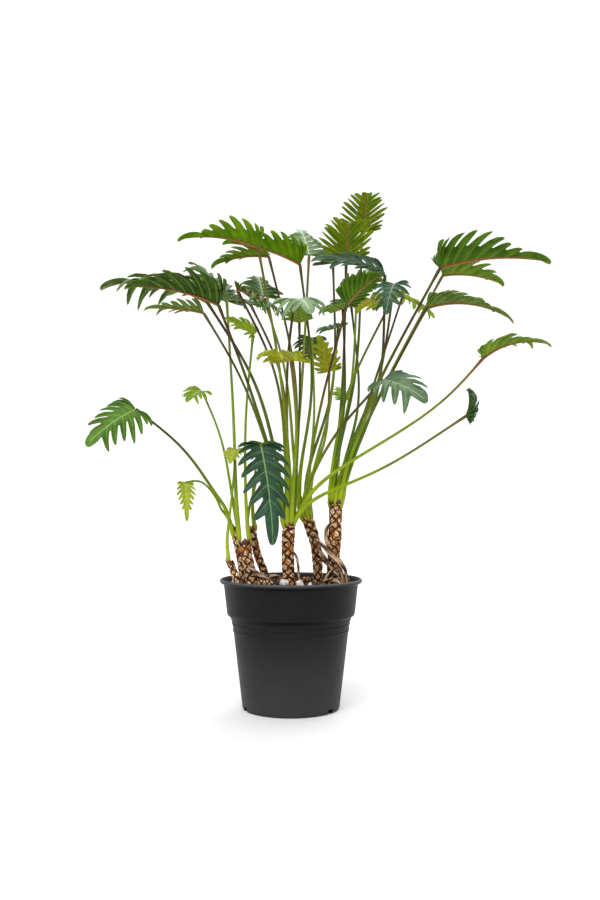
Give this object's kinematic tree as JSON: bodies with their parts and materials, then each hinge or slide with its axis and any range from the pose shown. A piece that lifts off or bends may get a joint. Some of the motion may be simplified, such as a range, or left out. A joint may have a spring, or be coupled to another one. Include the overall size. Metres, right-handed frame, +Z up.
{
  "type": "potted philodendron",
  "caption": "Bushy lobed-leaf philodendron with bare scarred stems in a plain black plastic nursery pot.",
  "frame": {"origin": "centre of the pot's flat underside", "axes": "+Z up along the pot's axis, -Y towards the front of the plant, +X to its right"},
  "size_m": [0.7822, 0.6018, 0.8878],
  "materials": {
    "pot": "satin",
    "soil": "matte",
    "bark": "matte",
    "root": "matte",
    "pebble": "matte",
    "leaf": "satin"
  },
  "bodies": {
    "root": {"pot": "pot", "soil": "soil", "stem_a": "bark", "stem_b": "bark", "stem_c": "bark", "stem_d": "bark", "stem_e": "bark", "stem_f": "bark", "stem_g": "bark", "root_1": "root", "root_2": "root", "root_3": "root", "runner_1": "root", "runner_2": "root", "stone_1": "pebble", "stone_2": "pebble", "stone_3": "pebble", "stone_4": "pebble", "leaf_01": "leaf", "leaf_02": "leaf", "leaf_03": "leaf", "leaf_04": "leaf", "leaf_05": "leaf", "leaf_06": "leaf", "leaf_07": "leaf", "leaf_08": "leaf", "leaf_09": "leaf", "leaf_10": "leaf", "leaf_11": "leaf", "leaf_12": "leaf", "leaf_13": "leaf", "leaf_14": "leaf", "leaf_15": "leaf", "leaf_16": "leaf", "leaf_17": "leaf", "leaf_18": "leaf", "leaf_19": "leaf", "leaf_20": "leaf", "leaf_21": "leaf", "leaf_22": "leaf", "leaf_23": "leaf", "leaf_24": "leaf", "leaf_25": "leaf", "leaf_26": "leaf", "leaf_27": "leaf", "leaf_28": "leaf", "leaf_29": "leaf", "leaf_30": "leaf", "leaf_31": "leaf", "leaf_32": "leaf", "leaf_33": "leaf", "leaf_34": "leaf", "leaf_35": "leaf", "leaf_36": "leaf", "leaf_37": "leaf", "leaf_38": "leaf", "leaf_39": "leaf", "leaf_40": "leaf", "leaf_41": "leaf", "leaf_42": "leaf"}
  },
  "joints": []
}
